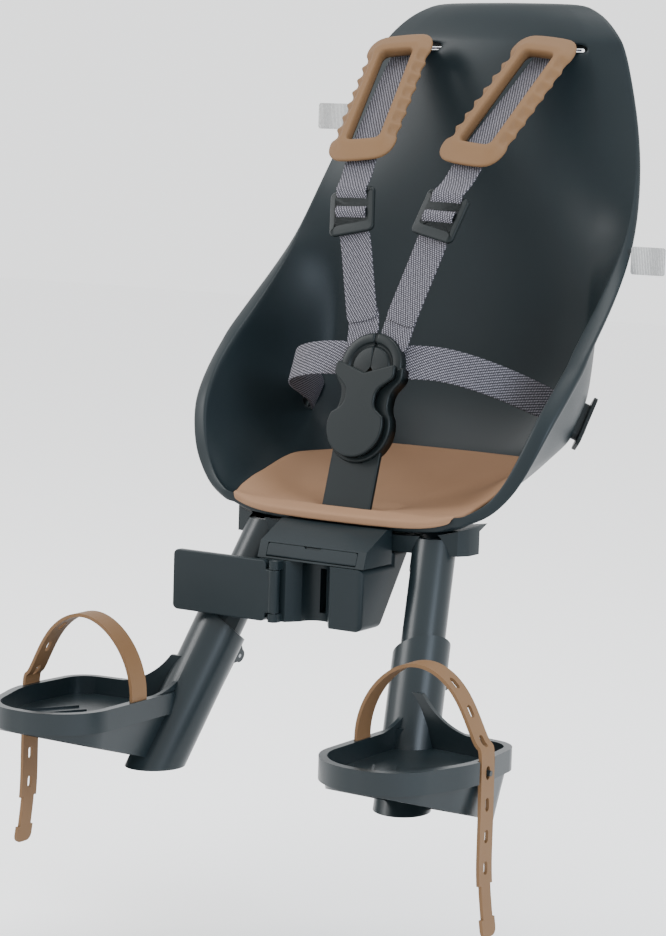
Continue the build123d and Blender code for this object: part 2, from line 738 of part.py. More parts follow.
# Foot strap: an arch over the tray and a free tail, with holes for the peg
strap_back = Plane(origin=(0, strap_y + strap_width / 2, 0), x_dir=(1, 0, 0), z_dir=(0, -1, 0))
strap_x = strap_wall_x + seat_gap + strap_thickness / 2
with BuildPart() as right_foot_strap:
    with BuildSketch(strap_back):
        with BuildLine() as route:
            arch = Spline(
                (strap_root_x, tray_top - strap_slot_depth + seat_gap),
                *strap_arch,
                (strap_x, peg_z),
                tangents=((0, 1), (0, -1)),
            )
            tail = Spline((strap_x, peg_z), *strap_tail, tangents=((0, -1), (0.15, -1)))
        trace(line_width=strap_thickness)
    extrude(amount=strap_width)
    for line, start, sign in ((arch, arch.length, -1), (tail, 0, 1)):
        for step in range(strap_holes):
            reach = start + sign * step * hole_pitch
            spot = line.position_at(reach, position_mode=PositionMode.LENGTH)
            run = line.tangent_at(reach, position_mode=PositionMode.LENGTH)
            hole_plane = Plane(
                origin=(spot.X, strap_y, spot.Y),
                x_dir=(run.X, 0, run.Y),
                z_dir=(run.Y, 0, -run.X),
            )
            with BuildSketch(hole_plane):
                SlotOverall(*hole_size)
            extrude(amount=2 * strap_thickness, both=True, mode=Mode.SUBTRACT)
    with BuildSketch(Plane.YZ):
        with Locations((strap_y - strap_width / 2, neck_middle), (strap_y + strap_width / 2, neck_middle)):
            Rectangle(neck_step, neck_length)
    extrude(amount=2 * strap_x, mode=Mode.SUBTRACT)
export_pair(right_foot_strap.part, "foot_strap")

# Buckle: stalk through the pan, housing on the stalk, press button and one tongue each side
with BuildPart() as buckle_stalk:
    with BuildSketch(buckle_plane.offset(-stalk_thickness / 2)):
        with Locations((0, (stalk_bottom + stalk_top) / 2)):
            Rectangle(stalk_width, stalk_top - stalk_bottom)
    extrude(amount=stalk_thickness)
buckle_stalk.part.label = "buckle_stalk"
export_step(buckle_stalk.part, "parts/buckle_stalk.step")

with BuildPart() as buckle_housing:
    with BuildSketch(buckle_plane.offset(buckle_back)):
        with Locations((0, buckle_low)):
            Circle(buckle_low_radius)
        with Locations((0, buckle_high)):
            Circle(buckle_high_radius)
        with Locations((0, (buckle_low + buckle_high) / 2)):
            Rectangle(2 * buckle_waist, buckle_high - buckle_low)
        with Locations((0, buckle_cut + buckle_high_radius)):
            Rectangle(4 * buckle_high_radius, 2 * buckle_high_radius, mode=Mode.SUBTRACT)
    extrude(amount=buckle_front - buckle_back)
    with BuildSketch(buckle_plane):
        with Locations((0, stalk_top + seat_gap - buckle_low / 2)):
            Rectangle(stalk_width + 2 * seat_gap, buckle_low)
    extrude(amount=stalk_thickness / 2 + seat_gap, both=True, mode=Mode.SUBTRACT)
    with BuildSketch(buckle_plane):
        with Locations((tab_x, buckle_cut - tab_size[1] / 2), (-tab_x, buckle_cut - tab_size[1] / 2)):
            Rectangle(tab_size[0] + 2 * seat_gap, tab_size[1] + 2 * seat_gap)
    extrude(amount=tab_thickness / 2 + seat_gap, both=True, mode=Mode.SUBTRACT)
    with BuildSketch(buckle_plane.offset(buckle_front)):
        with Locations((0, guide_at)):
            Circle(guide_radius + pin_gap)
    extrude(amount=-guide_depth - button_travel, mode=Mode.SUBTRACT)
buckle_housing.part.label = "buckle_housing"
export_step(buckle_housing.part, "parts/buckle_housing.step")

button_back = buckle_front + button_travel + seat_gap
with BuildPart() as buckle_button:
    with BuildSketch(buckle_plane.offset(button_back)):
        with Locations((0, buckle_low)):
            Circle(button_radius)
        Polygon(
            (button_neck, buckle_low),
            (button_neck, guide_at),
            (button_arm, button_arm_height - 4),
            (button_arm, button_arm_height),
            (-button_arm, button_arm_height),
            (-button_arm, button_arm_height - 4),
            (-button_neck, guide_at),
            (-button_neck, buckle_low),
            align=None,
        )
    extrude(amount=button_thickness)
    with BuildSketch(buckle_plane.offset(button_back)):
        with Locations((0, guide_at)):
            Circle(guide_radius)
    extrude(amount=-guide_depth)
buckle_button.part.label = "buckle_button"
export_step(buckle_button.part, "parts/buckle_button.step")

tongue_foot = buckle_cut + seat_gap
with BuildPart() as right_tongue:
    with BuildSketch(buckle_plane.offset(tongue_back)):
        with Locations((0, tongue_foot)):
            Circle(tongue_radius)
        with Locations((0, tongue_foot - tongue_radius)):
            Rectangle(4 * tongue_radius, 2 * tongue_radius, mode=Mode.SUBTRACT)
        with Locations((seat_gap / 2 - tongue_radius, tongue_foot)):
            Rectangle(2 * tongue_radius, 4 * tongue_radius, mode=Mode.SUBTRACT)
    extrude(amount=tongue_front - tongue_back)
    with BuildSketch(buckle_plane):
        with Locations((tab_x, tongue_foot - tab_size[1] / 2)):
            Rectangle(*tab_size)
    extrude(amount=tab_thickness / 2, both=True)
    with BuildSketch(buckle_plane.offset(webbing_slot_z)):
        with Locations((0, webbing_slot_v + tongue_radius)):
            Rectangle(4 * tongue_radius, 2 * tongue_radius)
    extrude(amount=webbing_slot / 2, both=True, mode=Mode.SUBTRACT)
export_pair(right_tongue.part, "tongue")

# Webbing: over each shoulder from the tongue to the slot in the back, and round each hip
chest_start = buckle_plane.from_local_coords((chest_route[0][0], webbing_slot_v + 1, webbing_slot_z))
across_seat = ((1, 0, 0), (1, 0, 0))
chest_stops = (chest_start, *chest_route, *chest_end)
export_pair(ribbon(chest_stops, across_seat, webbing_width, webbing_thickness), "chest_webbing")

for name, route, plane in (
    ("right", right_waist_route, hip_plane),
    ("left", left_waist_route, left_hip_plane),
):
    way_out = [plane.from_local_coords((0, 0, depth * shell_wall)) for depth in (-4, -1, 3)]
    waist = ribbon((*route, *way_out), (waist_across, plane.x_dir), webbing_width, webbing_thickness)
    waist.label = f"{name}_waist_webbing"
    export_step(waist, f"parts/{name}_waist_webbing.step")

# Shoulder pad: a scalloped plate with a long window, in front of the webbing
pad_run = (Vector(*chest_route[5]) - Vector(*chest_route[3])).normalized()
pad_middle = (Vector(*chest_route[5]) + Vector(*chest_route[3])) / 2
pad_side = (Vector(1, 0, 0) - pad_run * pad_run.X).normalized()
pad_plane = Plane(origin=pad_middle, x_dir=pad_side, z_dir=pad_side.cross(pad_run))
with BuildPart() as right_shoulder_pad:
    with BuildSketch(pad_plane.offset(webbing_thickness / 2 + shoulder_pad_gap)):
        RectangleRounded(shoulder_pad_size[0], shoulder_pad_size[1], 12)
        RectangleRounded(*shoulder_pad_window, 5, mode=Mode.SUBTRACT)
        with GridLocations(shoulder_pad_size[0] + scallop_radius, scallop_pitch, 2, scallop_count):
            Circle(scallop_radius, mode=Mode.SUBTRACT)
    extrude(amount=shoulder_pad_size[2])
export_pair(right_shoulder_pad.part, "shoulder_pad")

# Slider: a ladder of two windows that shortens the webbing
slider_run = (Vector(*chest_route[3]) - Vector(*chest_route[1])).normalized()
slider_side = (Vector(1, 0, 0) - slider_run * slider_run.X).normalized()
slider_plane = Plane(origin=slider_at, x_dir=slider_side, z_dir=slider_side.cross(slider_run))
with BuildPart() as right_slider:
    with BuildSketch(slider_plane.offset(webbing_thickness / 2 + slider_gap)):
        RectangleRounded(slider_size[0], slider_size[1], 4)
        with GridLocations(1, slider_pitch, 1, 2):
            RectangleRounded(*slider_window, 2, mode=Mode.SUBTRACT)
    extrude(amount=slider_size[2])
export_pair(right_slider.part, "slider")

# Anchors: a slotted bar behind the back for each shoulder, a plugged plate outside for each hip
with BuildPart() as right_shoulder_anchor:
    with BuildSketch(
        Plane(origin=(shoulder_slot_x, anchor_y, shoulder_slot_z), x_dir=(1, anchor_lean, 0), z_dir=(-anchor_lean, 1, 0))
    ):
        RectangleRounded(*anchor_size, 4)
        SlotOverall(*anchor_slot, mode=Mode.SUBTRACT)
    extrude(amount=anchor_thickness)
export_pair(right_shoulder_anchor.part, "shoulder_anchor")

with BuildPart() as right_hip_anchor:
    with BuildSketch(hip_plane.offset(shell_wall + 4 * seat_gap)):
        RectangleRounded(hip_slot[1] + 10, hip_slot[0] + 8, 5)
    extrude(amount=anchor_thickness)
    with BuildSketch(hip_plane):
        SlotOverall(hip_slot[1] - 2 * seat_gap, hip_slot[0] - 2 * seat_gap)
    extrude(amount=shell_wall + 4 * seat_gap)
    with BuildSketch(hip_plane.offset(-shell_wall)):
        SlotOverall(*anchor_slot)
    extrude(amount=4 * shell_wall, mode=Mode.SUBTRACT)
export_pair(right_hip_anchor.part, "hip_anchor")

# Side tags: plain plates that stand off the rim
for name, side, spot in (("right", 1, right_tag_at), ("left", -1, left_tag_at)):
    with BuildPart() as side_tag:
        with BuildSketch(Plane(origin=(0, spot[1], spot[2]), x_dir=(1, 0, 0), z_dir=(0, -1, 0))):
            with Locations((side * (spot[0] + tag_length / 2), 0)):
                RectangleRounded(tag_length, tag_height, 2)
        extrude(amount=tag_thickness / 2, both=True)
    side_tag.part.label = f"{name}_side_tag"
    export_step(side_tag.part, f"parts/{name}_side_tag.step")

# Screws in the carrier's pocket
pocket_floor = base_bottom + base_pocket_depth
with BuildPart() as base_screws:
    with BuildSketch(Plane.XY.offset(pocket_floor)):
        with Locations((0, base_pocket_y)):
            with GridLocations(*screw_pattern, 2, 2):
                Circle(screw_head_radius)
    extrude(amount=-screw_head_height)
    with BuildSketch(Plane.XY.offset(pocket_floor)):
        with Locations((0, base_pocket_y)):
            with GridLocations(*screw_pattern, 2, 2):
                Circle(screw_radius)
    extrude(amount=screw_length)
base_screws.part.label = "base_screws"
export_step(base_screws.part, "parts/base_screws.step")
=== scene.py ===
# %% [markdown]
# # A child seat for the handlebar
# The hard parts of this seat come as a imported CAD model, which is the fixed frame of the scene.
# Here each part gets the surface that the eye sees: soft moulded edges, satin plastic, tan foam
# and woven webbing. New shapes are drawn in millimetres and scaled to metres when they are placed.

# %% Load the frame
import json
from collections import namedtuple
from math import cos, pi, radians, sin, sqrt

import bmesh
import bpy
from mathutils import Matrix, Vector

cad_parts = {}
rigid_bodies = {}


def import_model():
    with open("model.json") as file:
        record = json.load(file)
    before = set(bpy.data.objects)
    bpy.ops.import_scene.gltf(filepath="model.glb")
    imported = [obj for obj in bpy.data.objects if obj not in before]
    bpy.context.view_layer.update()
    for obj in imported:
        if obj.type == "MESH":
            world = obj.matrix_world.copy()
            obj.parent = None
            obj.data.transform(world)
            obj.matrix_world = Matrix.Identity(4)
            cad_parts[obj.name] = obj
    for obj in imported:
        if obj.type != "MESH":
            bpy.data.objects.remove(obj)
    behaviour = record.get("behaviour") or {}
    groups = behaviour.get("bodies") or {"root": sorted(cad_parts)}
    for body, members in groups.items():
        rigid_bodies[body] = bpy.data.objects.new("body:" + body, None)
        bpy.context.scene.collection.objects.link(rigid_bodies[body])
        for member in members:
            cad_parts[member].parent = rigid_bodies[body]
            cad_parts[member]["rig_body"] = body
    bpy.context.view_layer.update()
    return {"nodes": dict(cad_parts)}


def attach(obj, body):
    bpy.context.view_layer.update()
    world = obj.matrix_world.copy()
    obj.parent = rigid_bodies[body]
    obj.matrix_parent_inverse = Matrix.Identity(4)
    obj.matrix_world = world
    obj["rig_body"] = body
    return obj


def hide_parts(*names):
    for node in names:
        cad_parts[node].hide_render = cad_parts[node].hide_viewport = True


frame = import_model()
MM = 0.001
print("CAD nodes:", len(frame["nodes"]))

# %% [markdown]
# ## Camera
# The photograph was taken with a long lens from in front of the seat, well round to its +X side and
# a little above its middle. A camera could be aimed with a Track To constraint, but this one also
# leans to one side, so its three axes are worked out from a turn, a rise and a lean, in radians.

# %% Camera
camera_turn = 0.56098
camera_rise = 0.12491
camera_lean = 0.03053
camera_place = Vector((1053.4, -1657.7, 335.2)) * MM
focal_length = 109
sensor_width = 36

right = Vector((cos(camera_turn), sin(camera_turn), 0))
level_reach = cos(camera_rise)
back = Vector((sin(camera_turn) * level_reach, -cos(camera_turn) * level_reach, sin(camera_rise)))
up = back.cross(right)
leaned_right = right * cos(camera_lean) + up * sin(camera_lean)
leaned_up = up * cos(camera_lean) - right * sin(camera_lean)
camera = bpy.data.objects.new("camera", bpy.data.cameras.new("camera"))
bpy.context.scene.collection.objects.link(camera)
turned = Matrix((leaned_right, leaned_up, back)).transposed().to_4x4()
camera.matrix_world = Matrix.Translation(camera_place) @ turned
camera.data.lens = focal_length
camera.data.sensor_width = sensor_width
bpy.context.scene.camera = camera
print("camera at", tuple(round(value, 3) for value in camera.location))

# %% [markdown]
# ## Finishes
# A material is a graph of nodes, and a graph is easier to read when one small function adds each
# node with its settings and links. Colours are written as the sRGB hex values that a painter would
# pick, and turned to linear light, because Blender's shaders work in linear light.


# %% Helpers for node graphs
def linear(hex_colour):
    """An sRGB hex colour as linear red, green, blue and alpha."""
    channels = []
    for start in (1, 3, 5):
        level = int(hex_colour[start:start + 2], 16) / 255
        channels.append(level / 12.92 if level <= 0.04045 else ((level + 0.055) / 1.055) ** 2.4)
    return (*channels, 1)


def new_material(name):
    """A new material, its node graph and its surface shader."""
    material = bpy.data.materials.new(name)
    material.use_nodes = True
    return material, material.node_tree, material.node_tree.nodes["Principled BSDF"]


def add_node(tree, kind, inputs, **settings):
    """Add a node, set its properties, and set or link its inputs."""
    made = tree.nodes.new(kind)
    for name, value in settings.items():
        setattr(made, name, value)
    for name, value in inputs.items():
        if isinstance(value, bpy.types.NodeSocket):
            tree.links.new(value, made.inputs[name])
        else:
            made.inputs[name].default_value = value
    return made


def mix_colours(tree, share, dark, light):
    """The colour between two hex colours at a share that a socket gives."""
    # The Mix node has sockets for each type of data. Those for colours are 6, 7 and output 2.
    colours = {0: share, 6: linear(dark), 7: linear(light)}
    return add_node(tree, "ShaderNodeMix", colours, data_type="RGBA").outputs[2]


# %% [markdown]
# The shell and the bracket block are injection-moulded polypropylene, the legs and trays polyamide,
# and the buckle acetal. Their moulds are spark-eroded, so the skin has a fine grain that spreads a
# highlight into a satin sheen, and the colour drifts a little. Real grain is about a tenth of a
# millimetre wide, and it is drawn ten times as coarse, because it would not show otherwise. The
# colours are darker than those of the real plastics, because the bright studio lifts dark tones.

# %% Moulded plastics
polymer_ior = 1.49
cloud_size = 60
grain_size = 1.1
grain_depth = 0.1
grain_strength = 0.25
sheen_spread = 0.05


def moulded_plastic(name, dark, light, roughness, gloss):
    """Plastic from a grained mould: a cloudy colour, a grained sheen and a fine bump."""
    material, tree, shader = new_material(name)
    shader.inputs["IOR"].default_value = polymer_ior
    shader.inputs["Specular IOR Level"].default_value = gloss
    place = add_node(tree, "ShaderNodeTexCoord", {}).outputs["Object"]
    clouds = {"Vector": place, "Scale": 1 / (cloud_size * MM), "Detail": 3}
    cloud = add_node(tree, "ShaderNodeTexNoise", clouds).outputs["Fac"]
    tree.links.new(mix_colours(tree, cloud, dark, light), shader.inputs["Base Color"])
    grains = {"Vector": place, "Scale": 1 / (grain_size * MM), "Detail": 2}
    grain = add_node(tree, "ShaderNodeTexNoise", grains).outputs["Fac"]
    spread = {"Value": grain, "To Min": roughness - sheen_spread, "To Max": roughness + sheen_spread}
    sheen = add_node(tree, "ShaderNodeMapRange", spread)
    tree.links.new(sheen.outputs["Result"], shader.inputs["Roughness"])
    relief = {"Height": grain, "Strength": grain_strength, "Distance": grain_depth * MM}
    bump = add_node(tree, "ShaderNodeBump", relief)
    tree.links.new(bump.outputs["Normal"], shader.inputs["Normal"])
    return material


shell_plastic = moulded_plastic("grained_polypropylene", "#0f171a", "#141d20", 0.42, 0.2)
leg_plastic = moulded_plastic("satin_polyamide", "#0f171a", "#151e21", 0.32, 0.28)
buckle_plastic = moulded_plastic("moulded_acetal", "#0e1314", "#13191a", 0.38, 0.16)
print("plastics:", shell_plastic.name, leg_plastic.name, buckle_plastic.name)

# %% [markdown]
# The cushion is tan foam rubber, and the shoulder pads and foot straps are a denser rubber of nearly
# the same colour. Rubber comes from a grained mould too, so it takes the same graph. It is dull,
# which a high roughness and a low gloss give.

# %% Tan rubbers
tan_foam = moulded_plastic("tan_foam_rubber", "#765a44", "#7f624a", 0.72, 0.2)
tan_rubber = moulded_plastic("tan_strap_rubber", "#5f462e", "#684e34", 0.6, 0.2)
print("rubbers:", tan_foam.name, tan_rubber.name)

# %% [markdown]
# Harness webbing is woven from light and dark grey polyester yarn, in a twill whose ribs run on the
# slant. Two wave patterns that cross stand for the ribs, with flecks where the light yarn comes up.
# The yarn is drawn a little coarser than the real one, so that it shows. The weave runs with the
# strap, so it reads the strap's own UV map, in metres. The white tags come from the CAD model and
# have no UV map, so their weave reads the object's coordinates.

# %% Webbing
rib_slants = ((52, 1), (-24, 1.4))
rib_wobble = 1.2
fleck_size = 1.6
yarn_depth = 0.35
yarn_strength = 0.6
light_yarn_from, light_yarn_to = 0.02, 0.4
cloth_roughness = 0.85
cloth_gloss = 0.2


def woven_cloth(name, dark, light, yarn_width, coordinates):
    """Cloth of two yarns that cross on the slant, with a bump at each crossing."""
    material, tree, shader = new_material(name)
    shader.inputs["Roughness"].default_value = cloth_roughness
    shader.inputs["Specular IOR Level"].default_value = cloth_gloss
    lay = add_node(tree, "ShaderNodeTexCoord", {}).outputs[coordinates]
    bands = []
    for degrees, yarns in rib_slants:
        turn = {"Vector": lay, "Rotation": (0, 0, radians(degrees))}
        slant = add_node(tree, "ShaderNodeMapping", turn).outputs["Vector"]
        # At a scale of 1, one band of the wave pattern is pi / 10 wide.
        pitch = yarns * yarn_width
        scale = pi / (10 * pitch * MM)
        ribs = {"Vector": slant, "Scale": scale, "Distortion": rib_wobble, "Detail Scale": 2}
        bands.append(add_node(tree, "ShaderNodeTexWave", ribs).outputs["Fac"])
    crossing = add_node(tree, "ShaderNodeMath", {0: bands[0], 1: bands[1]}, operation="MULTIPLY")
    flecks = {"Vector": lay, "Scale": 1 / (fleck_size * MM), "Detail": 3}
    fleck = add_node(tree, "ShaderNodeTexNoise", flecks)
    both = {0: crossing.outputs[0], 1: fleck.outputs["Fac"]}
    share = add_node(tree, "ShaderNodeMath", both, operation="MULTIPLY").outputs[0]
    stretch = {"Value": share, "From Min": light_yarn_from, "From Max": light_yarn_to}
    stretched = add_node(tree, "ShaderNodeMapRange", stretch)
    tint = mix_colours(tree, stretched.outputs["Result"], dark, light)
    tree.links.new(tint, shader.inputs["Base Color"])
    relief = {"Height": share, "Strength": yarn_strength, "Distance": yarn_depth * MM}
    bump = add_node(tree, "ShaderNodeBump", relief)
    tree.links.new(bump.outputs["Normal"], shader.inputs["Normal"])
    return material


webbing_cloth = woven_cloth("grey_polyester_webbing", "#26262a", "#85828a", 1.35, "UV")
tag_cloth = woven_cloth("white_satin_ribbon", "#8a8a89", "#c8c8c6", 0.8, "Object")
print("cloths:", webbing_cloth.name, tag_cloth.name)

# %% [markdown]
# Pins and screws are turned from steel bar and zinc-plated. Turning leaves fine marks, so the
# roughness changes from one half millimetre to the next, and the highlight breaks up a little.

# %% Steel
turning_mark_size = 0.5
smooth_steel, marked_steel = 0.28, 0.45
pin_steel, steel_tree, steel_shader = new_material("zinc_plated_steel")
steel_shader.inputs["Metallic"].default_value = 1
steel_shader.inputs["Base Color"].default_value = linear("#8d9092")
steel_place = add_node(steel_tree, "ShaderNodeTexCoord", {}).outputs["Object"]
steel_marks = {"Vector": steel_place, "Scale": 1 / (turning_mark_size * MM)}
turning_marks = add_node(steel_tree, "ShaderNodeTexNoise", steel_marks)
steel_spread = {"Value": turning_marks.outputs["Fac"], "To Min": smooth_steel, "To Max": marked_steel}
steel_sheen = add_node(steel_tree, "ShaderNodeMapRange", steel_spread)
steel_tree.links.new(steel_sheen.outputs["Result"], steel_shader.inputs["Roughness"])
print("metal:", pin_steel.name)

# %% [markdown]
# ## Putting a piece in the scene
# A bmesh is Blender's editable mesh. One function scales it to metres, stores it as an object at
# the origin, gives it its finish and ties it to the CAD body that it moves with. Two others add the
# modifiers that finish a piece, because a modifier leaves the cage simple enough to edit.


# %% Place a piece
def place_piece(bm, name, material, body, replaced=(), unit=MM):
    """Store a bmesh as a finished piece that rides on a body."""
    bmesh.ops.scale(bm, vec=(unit, unit, unit), verts=bm.verts)
    mesh = bpy.data.meshes.new(name)
    bm.to_mesh(mesh)
    bm.free()
    mesh.materials.append(material)
    mesh.polygons.foreach_set("use_smooth", [True] * len(mesh.polygons))
    piece = bpy.data.objects.new(name, mesh)
    bpy.context.scene.collection.objects.link(piece)
    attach(piece, body)
    if replaced:
        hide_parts(*replaced)
    return piece


def smooth_surface(piece, levels):
    """Round a cage with a subdivision surface."""
    modifier = piece.modifiers.new("subdivision", "SUBSURF")
    modifier.levels = levels
    modifier.render_levels = levels


def even_shading(piece):
    """Let the large faces set the shading, so that only the rounded edges turn the light."""
    modifier = piece.modifiers.new("normals", "WEIGHTED_NORMAL")
    modifier.keep_sharp = True


# %% [markdown]
# ## Rings, edges and frames
# Many pieces of this seat are skins over a row of cross-sections. Each section is a closed ring of
# vertices, and the bridge operator makes the faces between two rings. Pieces that stand on a slant
# are drawn upright in a frame of their own, which a matrix then carries to its place.


# %% Rings, edges and frames
def add_ring(bm, points):
    """A closed ring of new vertices through the points, and its edges."""
    verts = [bm.verts.new(point) for point in points]
    edges = [bm.edges.new((verts[index - 1], verts[index])) for index in range(len(verts))]
    return verts, edges


def bridge_rings(bm, rings):
    """Skin a row of rings, each to the next one."""
    for lower_ring, upper_ring in zip(rings, rings[1:]):
        bmesh.ops.bridge_loops(bm, edges=lower_ring[1] + upper_ring[1])


def round_edges(bm, edges, radius, segments):
    """Roll the edges over with a radius, which short neighbours clamp to less."""
    bmesh.ops.bevel(
        bm, geom=edges, offset=radius, offset_type="OFFSET", segments=segments, profile=0.5,
        affect="EDGES", clamp_overlap=True, material=-1,
    )


def local_frame(origin, across, along):
    """Matrix of a frame with its x across, its y along and its z to the front."""
    along = along.normalized()
    across = (across - along * along.dot(across)).normalized()
    turn = Matrix((across, along, across.cross(along))).transposed().to_4x4()
    return Matrix.Translation(origin) @ turn


# %% [markdown]
# ## Moulded parts
# CAD edges are perfectly sharp, and a moulded edge never is: it always carries a small radius that
# catches the light. A CAD mesh is loose triangles, which a bevel can't work on. So each hard part is
# copied, its triangles are merged back into faces, and its sharp edges are beveled. Which edges are
# sharp, and which belong to a broad corner, is told by a small test for each.

# %% Tests for edges
sharp_angle = 38
block_side = 43.9
strap_tip_level = -185
strap_tip_edge = 4


def sharp_edges(bm):
    """The edges where two faces meet at a clear angle."""
    shared = [edge for edge in bm.edges if len(edge.link_faces) == 2]
    return [edge for edge in shared if edge.calc_face_angle(0) > radians(sharp_angle)]


def at_block_side(edge):
    """True on the side faces of the bracket block, which lie just past block_side."""
    return all(abs(vert.co.x) > block_side * MM for vert in edge.verts)


def at_strap_tip(edge):
    """True for the short corner edges at the free end of a foot strap."""
    is_short = edge.calc_length() < strap_tip_edge * MM
    return is_short and all(vert.co.z < strap_tip_level * MM for vert in edge.verts)


# %% [markdown]
# Each copy has its own finish and its own radius: about half a millimetre on small parts, and a
# little over a millimetre on the trays and the door. The block's sides and the ends of the foot
# straps have broad corners, which are rolled before the small ones.

# %% Soften the CAD parts
merge_distance = 0.004
flat_angle = 0.6
sides = {"right": 1, "left": -1}


def soften(node, material, radius, broad_radius=0, broad=None):
    """Place a copy of a CAD node with rounded edges, rounded more where a test picks an edge."""
    source = frame["nodes"][node]
    bm = bmesh.new()
    bm.from_mesh(source.data)
    bmesh.ops.remove_doubles(bm, verts=bm.verts, dist=merge_distance * MM)
    bmesh.ops.dissolve_limit(bm, angle_limit=radians(flat_angle), verts=bm.verts, edges=bm.edges)
    if broad:
        broad_edges = [edge for edge in sharp_edges(bm) if broad(edge)]
        round_edges(bm, broad_edges, broad_radius * MM, segments=4)
    round_edges(bm, sharp_edges(bm), radius * MM, segments=2)
    # The CAD mesh is in metres already, so its unit is 1.
    piece = place_piece(bm, f"{node}_moulded", material, source["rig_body"], (node,), unit=1)
    even_shading(piece)


for side in sides:
    soften(f"{side}_leg", leg_plastic, 0.4)
    soften(f"{side}_footrest", leg_plastic, 1.2)
    soften(f"{side}_foot_strap", tan_rubber, 0.4, broad_radius=5, broad=at_strap_tip)
    soften(f"{side}_height_lever", buckle_plastic, 0.6)
    soften(f"{side}_shoulder_anchor", buckle_plastic, 0.6)
    soften(f"{side}_hip_anchor", buckle_plastic, 0.6)
    soften(f"{side}_side_tag", tag_cloth, 0.2)
    soften(f"{side}_lever_pin", pin_steel, 0.2)
soften("base_frame", shell_plastic, 0.8)
soften("mount_housing", shell_plastic, 0.8, broad_radius=4, broad=at_block_side)
soften("mount_hood", shell_plastic, 0.5)
soften("hatch_lid", shell_plastic, 0.3)
soften("lock_door", shell_plastic, 1.2)
soften("buckle_stalk", buckle_plastic, 1.0)
soften("door_hinge_pin", pin_steel, 0.3)
soften("base_screws", pin_steel, 0.3)

# %% [markdown]
# ## Seat shell
# The bucket is one thin moulding. It could be pulled out of a subdivided box, but its bend from pan
# to back is easier to steer with a loft: a row of closed sections from the front edge, over the
# pan and up the back, bridged to one skin and rounded by a subdivision surface. A section has a
# place, the lean of its plane in degrees, a half width, a depth, a fullness that squares its curve,
# and the reach of its rim. The rim is part of each section, so it runs on without a seam.

# %% Sections of the shell
Section = namedtuple("Section", "y z lean width depth fullness lip")
sections = [
    Section(30, 48.5, 90, 98, 10, 6.0, 5),
    Section(38, 47.8, 88, 122, 24, 6.0, 8),
    Section(50, 47.0, 95, 139, 49, 5.2, 11),
    Section(72, 46.5, 104, 147, 74, 4.6, 12),
    Section(98, 47.2, 112, 150, 92, 4.0, 13),
    Section(124, 51.5, 117, 152, 106, 3.4, 13),
    Section(156, 62, 127.4, 152.6, 116.6, 4.0, 13),
    Section(175, 83, 136.8, 152.8, 113.3, 5.5, 13),
    Section(188.5, 107, 145.7, 152.8, 107.3, 7.5, 13),
    Section(196, 137, 160.1, 152.5, 98.6, 9, 13),
    Section(199, 174, 180, 152, 92, 9, 13),
    Section(201, 200, 180, 150.2, 63, 7.5, 12),
    Section(202.5, 226, 180, 146.8, 37.5, 5, 11),
    Section(203.5, 253, 180, 142, 16, 3, 9),
    Section(205, 292, 180, 134, -5, 2.3, 7),
    Section(210, 332, 180, 122.9, -17.5, 2.3, 6),
    Section(216, 372, 180, 109, -21.5, 2.3, 5),
    Section(222, 395, 180, 99.5, -17, 2.3, 5),
    Section(231, 410, 180, 85, -13, 2.3, 5),
    Section(239, 418, 180, 69, -9.5, 2.3, 5),
    Section(244, 421.5, 180, 57, -7, 2.3, 5),
]


def section_at(row):
    """The section at a whole or broken row number, on a smooth curve through its neighbours."""
    index = min(int(row), len(sections) - 2)
    share = row - index
    blend = []
    around = [sections[min(max(index + step, 0), len(sections) - 1)] for step in (-1, 0, 1, 2)]
    for before, low, high, after in zip(*around):
        bend = 2 * before - 5 * low + 4 * high - after + share * (3 * (low - high) + after - before)
        blend.append(low + 0.5 * share * (high - before + share * bend))
    return Section(*blend)


def inner_half_width(section):
    """Half width of the inner face at the rim."""
    slope = section.fullness * section.depth / section.width
    return section.width - max(0, section.lip * slope / sqrt(1 + slope**2))


def wall_point(section, across, offset):
    """Point of the section at a distance across, offset outwards from the inner face."""
    half = inner_half_width(section)
    share = abs(across) / half
    rise = section.depth * share**section.fullness
    slope = section.fullness * section.depth / half * share ** (section.fullness - 1)
    length = sqrt(1 + slope**2)
    sign = 1 if across >= 0 else -1
    return Vector((across + sign * offset * slope / length, rise - offset / length))


def in_space(section, point):
    """A point of a section's plane as a point in space."""
    lean = radians(section.lean)
    return Vector((point[0], section.y + cos(lean) * point[1], section.z + sin(lean) * point[1]))


print("sections of the shell:", len(sections))

# %% [markdown]
# The rolled rim is drawn as steps out from the wall and back down. Steps that lie close together
# keep an edge crisp under the subdivision surface, and steps far apart let it flow. There are extra
# rows of rings at the front edge, which bends most, and on both sides of each slot for a strap.

# %% Skin of the shell
shell_wall = 3.6
lip_height = 7.0
rim_steps = ((0.2, 0.9), (0.5, 1.3), (0.85, 0.9), (1, -0.6), (1, -lip_height + 1.5), (0.8, -lip_height))
inner_shares = (0, 0.2, 0.42, 0.59, 0.76, 0.785, 0.83, 0.92, 0.97, 0.988, 1)
outer_shares = (0.92, 0.83, 0.785, 0.76, 0.59, 0.42, 0.2, 0)
pan_rows = (0, 0.3, 0.65, 1, 1.5, 2, 3, 4, 5, 6, 7, 7.4, 8.6)
back_rows = (10, 11, 12, 13, 14, 15, 16, 16.45, 16.75, 17, 18, 19, 20)
shell_rows = pan_rows + back_rows


